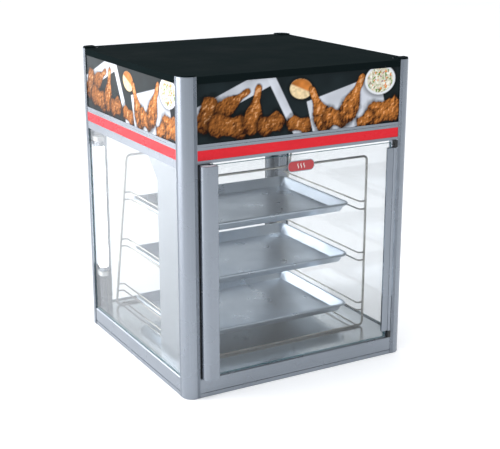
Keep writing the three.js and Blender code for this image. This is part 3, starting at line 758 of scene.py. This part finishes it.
def add_lamp():
    """The lit tube with rounded shoulders, its two ferrules, and a socket at each end."""
    low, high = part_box("lamp_tube")
    middle = centre_of("lamp_tube")
    place = (middle.x, middle.y, low.z)
    length = (high.z - low.z) / MM
    shoulder = [(10.5, 12), (11.6, 13), (12.6, 15), (13, 18)]
    far_shoulder = [(radius, length - height) for radius, height in reversed(shoulder)]
    tube = moved(turned(shoulder + far_shoulder), place)
    piece_of("lamp_tube_glass", *tube, [lamp_coating], ["lamp_tube"], slot="lamp_glass")
    ferrule = [(0.5, 0), (10.6, 0), (11.8, 0.8), (12, 2), (12, 11), (11.6, 12.6), (10.4, 12.6)]
    ends = []
    for foot, up in ((0, 1), (length, -1)):
        ends.append(moved(turned([(radius, foot + up * height) for radius, height in ferrule]), place))
    piece_of("lamp_ferrules", *joined(ends), [aluminium["Z"]], slot="satin_aluminium")
    for end in ("bottom", "top"):
        node = "lamp_socket_" + end
        low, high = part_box(node)
        radii = [9 * MM, 9 * MM, 1 * MM, 1 * MM]
        points, faces = prism([rounded(rectangle(*low.xy, *high.xy), radii, 8)], low.z, high.z)
        socket = piece_of(node + "_detail", points, faces, [white_plastic], [node], slot="white_plastic")
        bevel(socket, 1.5 * MM, 3)


# Header print


def soft(value, edge0, edge1):
    """0 at edge0 and 1 at edge1, with a smooth step between."""
    t = np.clip((value - edge0) / (edge1 - edge0), 0, 1)
    return t * t * (3 - 2 * t)


def cloud(x, y, cell, seed):
    """Seeded value noise from 0 to 1, with features of about the cell's size."""
    cells = 64
    lattice = np.random.default_rng(seed).random((cells, cells))
    u, v = x / cell, y / cell
    i, j = np.floor(u).astype(int), np.floor(v).astype(int)
    s, t = soft(u - i, 0, 1), soft(v - j, 0, 1)

    def at(right, up):
        return lattice[(i + right) % cells, (j + up) % cells]

    return (at(0, 0) * (1 - s) + at(1, 0) * s) * (1 - t) + (at(0, 1) * (1 - s) + at(1, 1) * s) * t


class Picture:
    """A generic spread of fried food, a roll, a bowl and paper on dark slate. Places are in millimetres
    from the panel's lower left corner, angles in degrees, and each item has a seed of its own."""

    def __init__(self, x, y):
        self.x, self.y = x, y
        slate = np.array([0.010, 0.016, 0.018])
        self.colour = slate * (0.7 + 0.6 * cloud(x, y, 30, 1))[:, None]

    def local(self, centre, angle):
        """Distances along and across an item that lies at the angle."""
        dx, dy = self.x - centre[0], self.y - centre[1]
        c, s = math.cos(math.radians(angle)), math.sin(math.radians(angle))
        return dx * c + dy * s, dy * c - dx * s

    def lay(self, cover, colour):
        """Lays the colour on, as thickly as the cover from 0 to 1."""
        cover = cover[:, None]
        self.colour = self.colour * (1 - cover) + np.asarray(colour) * cover

    def shade_under(self, distance):
        """A soft dark halo round something whose edge is at a distance of 1."""
        self.colour = self.colour * (1 - 0.65 * soft(distance, 1.35, 0.95))[:, None]

    def paper(self, centre, half_length, half_width, angle, tone):
        """A creased white sheet."""
        along, across = self.local(centre, angle)
        rim = np.maximum(np.abs(along) - half_length, np.abs(across) - half_width)
        creases = 0.85 + 0.25 * cloud(self.x, self.y, 26, 7) - 0.1 * soft(across, -half_width, half_width)
        self.lay(soft(rim, 0.8, -0.8), tone * creases[:, None] * np.array([0.93, 0.97, 1.05]))

    def crust(self, distance, centre, golden, seed):
        """A rough crust inside a distance of 1, lit from above and browner in its hollows and foot."""
        def lumps(shift):
            x, y = self.x + shift, self.y - shift
            layers = ((0.5, 9), (0.32, 4.5), (0.18, 2.4))
            return sum(share * cloud(x, y, cell, seed + i) for i, (share, cell) in enumerate(layers))

        height = lumps(0)
        rough = distance + 0.3 * (height - 0.5)
        dome = np.sqrt(np.clip(1 - rough**2, 0, 1))
        relief = height - lumps(1.6)
        above = np.clip((self.y - centre[1]) / 30, -1, 1)
        light = np.clip(0.66 * dome + 0.2 * above + 1.7 * relief + 0.8 * (height - 0.5), 0, 1)[:, None]
        brown = np.array([0.030, 0.007, 0.002])
        gold = np.array([0.60, 0.21, 0.042]) * golden
        glint = [0.95, 0.62, 0.36]
        self.shade_under(rough)
        self.lay(soft(rough, 1.0, 0.94), brown * (1 - light) + gold * light)
        self.lay(soft(light[:, 0], 0.86, 1.0) * soft(rough, 0.9, 0.6) * 0.35, glint)

    def fillet(self, centre, length, width, angle, golden, seed):
        """A crusted piece, waisted in the middle."""
        along, across = self.local(centre, angle)
        pinch = 1 - 0.25 * np.cos(along / length * 4)
        self.crust(np.hypot(along / length, across / (width * pinch)), centre, golden, seed)

    def drumstick(self, centre, length, angle, golden, seed):
        """A crusted piece that tapers to a thin end."""
        along, across = self.local(centre, angle)
        taper = length * (0.15 + 0.27 * soft(along, 0.5 * length, -0.3 * length))
        blunt = np.where(along > 0, 0.8, 0.45)
        over = np.clip(np.abs(along) / length - blunt, 0, None) / (1 - blunt)
        self.crust(np.hypot(over, across / taper), centre, golden, seed)

    def roll(self, centre, radius, angle):
        """Half a bread roll, its crumb below and its brown top above."""
        along, across = self.local(centre, angle)
        distance = np.hypot(along / radius, across / (0.75 * radius))
        self.shade_under(distance)
        crumb = np.array([0.80, 0.62, 0.36]) * (0.75 + 0.4 * cloud(self.x, self.y, 4, 31))[:, None]
        self.lay(soft(distance, 1.0, 0.93), crumb)
        top = np.array([0.50, 0.17, 0.035]) * (0.6 + 0.7 * cloud(self.x, self.y, 12, 32))[:, None]
        self.lay(soft(distance, 1.0, 0.93) * soft(across + 0.2 * along, -0.05 * radius, 0.12 * radius), top)

    def bowl(self, centre, radius):
        """A white bowl of chopped salad."""
        along, across = self.local(centre, 0)
        distance = np.hypot(along / radius, across / (0.8 * radius))
        self.shade_under(distance)
        self.lay(soft(distance, 1.0, 0.96), [0.72, 0.74, 0.76])
        self.lay(soft(distance, 0.86, 0.8), [0.66, 0.62, 0.48])
        for tone, seed, level in (((0.10, 0.24, 0.03), 41, 0.68), ((0.75, 0.22, 0.03), 42, 0.74),
                                  ((0.85, 0.84, 0.74), 43, 0.66), ((0.25, 0.08, 0.12), 44, 0.8)):
            bits = cloud(self.x, self.y, 3.6, seed)
            self.lay(soft(distance, 0.86, 0.8) * soft(bits, level, level + 0.08), tone)

    def paint(self):
        """The colours of the whole picture, laid from the back to the front."""
        self.paper((84, 102), 104, 19, 22, 0.60)
        self.fillet((24, 70), 42, 26, 62, 0.58, 11)
        self.drumstick((88, 92), 50, 30, 0.70, 13)
        self.fillet((78, 40), 54, 28, -8, 0.66, 12)
        self.drumstick((142, 70), 58, 78, 0.80, 20)
        self.fillet((184, 36), 36, 25, 18, 0.66, 14)
        self.paper((222, 68), 84, 10, -62, 0.66)
        self.roll((262, 108), 31, -12)
        self.fillet((258, 28), 34, 20, -14, 0.80, 21)
        self.paper((388, 54), 102, 50, 14, 0.68)
        self.drumstick((312, 56), 60, 114, 1.0, 15)
        self.fillet((358, 34), 38, 25, -8, 1.0, 16)
        self.drumstick((404, 74), 62, 64, 1.05, 17)
        self.bowl((478, 112), 44)
        self.fillet((492, 36), 54, 32, 8, 1.05, 18)
        self.fillet((438, 22), 27, 17, 34, 0.9, 19)
        return self.colour


def add_header_panel(side, origin, along):
    """A thin sheet behind the posts' edges, its outer face finely divided to hold the print.
    The origin is the outer face's lower left corner, as seen from outside."""
    node = "header_panel_" + side
    low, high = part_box(node)
    size = high - low
    width = max(size.x, size.y)
    thickness = min(size.x, size.y)
    cell = 1.7 * MM
    columns = round(width / cell)
    rows = round(size.z / cell)
    inward = UP.cross(along)
    points = []
    for row in range(rows + 1):
        for column in range(columns + 1):
            points.append(origin + along * (width * column / columns) + UP * (size.z * row / rows))
    across = columns + 1
    faces = [(r * across + c, r * across + c + 1, (r + 1) * across + c + 1, (r + 1) * across + c)
             for r in range(rows) for c in range(columns)]
    rim = [*range(across), *[r * across + columns for r in range(1, rows + 1)],
           *[rows * across + c for c in range(columns - 1, -1, -1)],
           *[r * across for r in range(rows - 1, 0, -1)]]
    count = len(points)
    points += [points[i] + inward * thickness for i in rim]
    back = list(range(count, count + len(rim)))
    for i in range(len(rim)):
        j = (i + 1) % len(rim)
        faces.append((rim[i], back[i], back[j], rim[j]))
    faces.append(tuple(reversed(back)))
    panel = piece_of(node + "_print", points, faces, [print_sheet], [node], slot="printed_panel")
    place = np.array([v.co for v in panel.data.vertices]) - np.array(origin)
    colours = Picture(place @ np.array(along) / MM, place[:, 2] / MM).paint()
    layer = panel.data.color_attributes.new("picture", "FLOAT_COLOR", "POINT")
    layer.data.foreach_set("color", np.hstack([colours, np.ones((len(colours), 1))]).ravel())


def add_header_panels():
    """The three printed panels. Each is read from left to right by someone facing it."""
    front_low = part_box("header_panel_front")[0]
    add_header_panel("front", front_low, Vector((1, 0, 0)))
    low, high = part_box("header_panel_left")
    add_header_panel("left", Vector((low.x, high.y, low.z)), Vector((0, -1, 0)))
    low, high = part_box("header_panel_right")
    add_header_panel("right", Vector((high.x, low.y, low.z)), Vector((0, 1, 0)))


# Controls

FACING_REAR = Quaternion((1, 0, 0), -math.pi / 2)
MARK_HEIGHT = 0.15 * MM


def flat_bar(left, near, right, far, height):
    """A bar that lies flat, with its edges in millimetres."""
    return prism([flat([(left, near), (right, near), (right, far), (left, far)])], 0, height)


def add_knob():
    """A fluted thermostat knob with a white pointer line."""
    low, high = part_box("thermostat_knob")
    centre = centre_of("thermostat_knob")
    reach = (high.y - low.y) / MM
    section = [(4, 0), (22.5, 0), (23, 0.6), (23, 2.6), (22, 3.4), (17.6, 5), (16.4, 6.5),
               (15.8, reach - 2), (14.6, reach - 0.4), (13, reach), (0.5, reach - 0.6)]
    points, faces = turned(section, steps=96)
    flutes = 24
    flute_depth = 0.035
    for p in points:
        if 15 * MM < math.hypot(p.x, p.y) < 18 * MM:
            grip = 1 - flute_depth * (1 + math.cos(flutes * math.atan2(p.y, p.x)))
            p.x *= grip
            p.y *= grip
    knob = moved((points, faces), (centre.x, low.y, centre.z), FACING_REAR)
    piece_of("thermostat_knob_detail", *knob, [black_plastic], ["thermostat_knob"], "thermostat_knob",
             "black_plastic", sharp=60)
    line = flat_bar(-0.9, 4, 0.9, 14, 0.5 * MM)
    pointing_up = Quaternion((0, 1, 0), math.pi) @ FACING_REAR
    pointer = moved(line, (centre.x, high.y - 0.4 * MM, centre.z), pointing_up)
    piece_of("thermostat_pointer", *pointer, [white_plastic], body="thermostat_knob", slot="white_plastic")


def add_dial_marks():
    """Raised ticks round the knob over its turn, a plain line above the switch and a ring below it."""
    knob = centre_of("thermostat_knob")
    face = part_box("control_panel_rear")[1].y
    dial_radius = 27
    marks = []
    for step in range(10):
        length = 5 if step % 3 == 0 else 3
        tick = flat_bar(dial_radius, -0.5, dial_radius + length, 0.5, MARK_HEIGHT)
        turn = FACING_REAR @ Quaternion(UP, -math.radians(90 + 30 * step))
        marks.append(moved(tick, (knob.x, face, knob.z), turn))
    low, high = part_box("switch_body")
    middle = centre_of("switch_body").x
    spacing = 7 * MM
    line = flat_bar(-0.6, -3, 0.6, 3, MARK_HEIGHT)
    marks.append(moved(line, (middle, face, high.z + spacing), FACING_REAR))
    ring = prism([circle(radius * MM, 32) for radius in (3, 1.9)], 0, MARK_HEIGHT)
    marks.append(moved(ring, (middle, face, low.z - spacing), FACING_REAR))
    piece_of("control_marks", *joined(marks), [white_enamel], slot="white_plastic")


def add_indicator_lamp():
    """An amber lens, domed over a thin rim."""
    dome = [(0.5, 0), (6, 0), (6, 12), (8, 12), (8, 13.2), (7.6, 14), (6.6, 15.8), (5, 17), (2.8, 17.8),
            (0.5, 18)]
    centre = centre_of("indicator_lamp")
    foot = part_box("indicator_lamp")[0].y
    lamp = moved(turned(dome), (centre.x, foot, centre.z), FACING_REAR)
    piece_of("indicator_lamp_detail", *lamp, [amber], ["indicator_lamp"], slot="amber_lens")


def add_cord_gland():
    """A bored sleeve with a hexagonal nut where it leaves the panel."""
    nut_radius = 12.9
    nut_start, nut_end = 14, 19
    profile = flat([(5, 0), (9, 0), (9, nut_start), (nut_radius, nut_start), (nut_radius, nut_end),
                    (10.5, 20), (10, 26), (8, 29), (5, 29)])
    sleeve = rounded(profile, [r * MM for r in (0, 0, 0, 0.8, 1, 0.4, 1, 1, 1)], 4)
    count = 72
    points = []
    for step in range(count):
        angle = 2 * math.pi * step / count
        hexagon = math.cos(math.pi / 6) / math.cos((angle % (math.pi / 3)) - math.pi / 6)
        for p in sleeve:
            on_nut = nut_start * MM <= p.y <= nut_end * MM
            radius = min(p.x, nut_radius * MM * hexagon) if on_nut else p.x
            points.append(Vector((radius * math.cos(angle), radius * math.sin(angle), p.y)))
    across = len(sleeve)
    faces = []
    for step in range(count):
        here, after = step * across, (step + 1) % count * across
        for i in range(across):
            j = (i + 1) % across
            faces.append((here + i, here + j, after + j, after + i))
    centre = centre_of("cord_gland")
    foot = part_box("cord_gland")[0].y
    gland = moved((points, faces), (centre.x, foot, centre.z), FACING_REAR)
    piece_of("cord_gland_detail", *gland, [black_plastic], ["cord_gland"], slot="black_plastic", sharp=45)


def add_screws():
    """Pan-head screws that hold the rear control panel."""
    low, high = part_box("control_panel_rear")
    inset = 14 * MM
    top_inset = 24 * MM
    head = turned([(0.4, -0.2), (3.4, -0.2), (3.5, 0.6), (3.0, 1.5), (1.8, 2.0), (0.4, 2.1)], steps=24)
    heads = [moved(head, (x, high.y, z), FACING_REAR)
             for x in (low.x + inset, 0, high.x - inset)
             for z in (low.z + inset, high.z - top_inset)]
    piece_of("panel_screws", *joined(heads), [chrome], slot="chrome_wire")


# Stage


def add_floor():
    """A wide pale floor that glows a little, so that it stays near white under soft light."""
    reach = 20
    mesh = bpy.data.meshes.new("studio_floor")
    mesh.from_pydata(rectangle(-reach, -reach, reach, reach), [], [(0, 1, 2, 3)])
    surface = Surface("studio_floor", (0.90, 0.90, 0.905), 0.6)
    surface.vary_roughness(surface.noise((3, 3, 3)), 0.55, 0.65)
    surface.set("Emission Color", (1.0, 1.0, 1.0, 1.0))
    surface.set("Emission Strength", 0.25)
    mesh.materials.append(surface.material)
    floor = bpy.data.objects.new("studio_floor", mesh)
    floor.location.z = -0.5 * MM
    bpy.context.scene.collection.objects.link(floor)


def add_soft_light(name, place, target, size, power, colour=(1, 1, 1)):
    """A rectangular light of the given width and height that faces its target and stays out of view."""
    light = bpy.data.lights.new(name, "AREA")
    light.shape = "RECTANGLE"
    light.size, light.size_y = size
    light.energy = power
    light.color = colour
    holder = bpy.data.objects.new(name, light)
    holder.location = place
    holder.rotation_mode = "QUATERNION"
    holder.rotation_quaternion = (Vector(target) - Vector(place)).to_track_quat("-Z", "Y")
    holder.visible_camera = False
    bpy.context.scene.collection.objects.link(holder)


def add_lights():
    """Soft light from above and, as in the photo, mostly from the left, with a weak fill in front."""
    middle = (0, 0, 0.35)
    behind_left = (-0.8, 0.9, 0)
    left_tint = (1.0, 0.98, 1.0)
    front_tint = (0.94, 0.97, 1.0)
    add_soft_light("overhead", (0.2, -0.2, 2.6), middle, (2.4, 2.4), 30)
    add_soft_light("left_key", (-2.6, 0.9, 1.0), middle, (2.0, 1.8), 50, left_tint)
    add_soft_light("left_rear", (-1.7, 2.1, 0.8), behind_left, (1.6, 1.4), 24, left_tint)
    add_soft_light("front_fill", (-0.6, -3.4, 1.9), middle, (1.8, 1.2), 6, front_tint)


def add_world():
    """A room that is brightest on its left side and darkest on its right."""
    bright_side = (-0.92, 0.30, 0.25)
    dark, bright = 0.28, 1.4
    world = bpy.data.worlds.new("studio")
    world.use_nodes = True
    tree = world.node_tree
    direction = tree.nodes.new("ShaderNodeTexCoord")
    towards = tree.nodes.new("ShaderNodeVectorMath")
    towards.operation = "DOT_PRODUCT"
    towards.inputs[1].default_value = bright_side
    spread = tree.nodes.new("ShaderNodeMapRange")
    for socket, value in (("From Min", -0.7), ("From Max", 0.8), ("To Min", dark), ("To Max", bright)):
        spread.inputs[socket].default_value = value
    background = tree.nodes["Background"]
    background.inputs["Color"].default_value = (0.93, 0.96, 1.0, 1.0)
    tree.links.new(direction.outputs["Generated"], towards.inputs[0])
    tree.links.new(towards.outputs["Value"], spread.inputs["Value"])
    tree.links.new(spread.outputs["Result"], background.inputs["Strength"])
    bpy.context.scene.world = world


def add_camera():
    """Seen from the front left and a little above, as product pictures are taken, with a long lens."""
    data = bpy.data.cameras.new("camera")
    data.sensor_width = 36
    data.lens = 79.9
    camera = bpy.data.objects.new("camera", data)
    yaw = 0.5129
    pitch = 0.2862
    look = Vector((math.sin(yaw) * math.cos(pitch), math.cos(yaw) * math.cos(pitch), -math.sin(pitch)))
    camera.location = (-1.3128, -2.381, 1.1023)
    camera.rotation_mode = "QUATERNION"
    camera.rotation_quaternion = look.to_track_quat("-Z", "Y")
    bpy.context.scene.collection.objects.link(camera)
    bpy.context.scene.camera = camera


bpy.context.scene.view_settings.view_transform = "Standard"
paint_cad_nodes()
add_posts()
for pane in ("glass_left", "glass_right", "glass_rear"):
    add_pane(pane)
add_pane("door_glass", "door")
add_handle()
add_hinge_stile()
add_badge()
add_rack()
add_pans()
add_lamp()
add_header_panels()
add_knob()
add_dial_marks()
add_indicator_lamp()
add_cord_gland()
add_screws()
add_floor()
add_lights()
add_world()
add_camera()
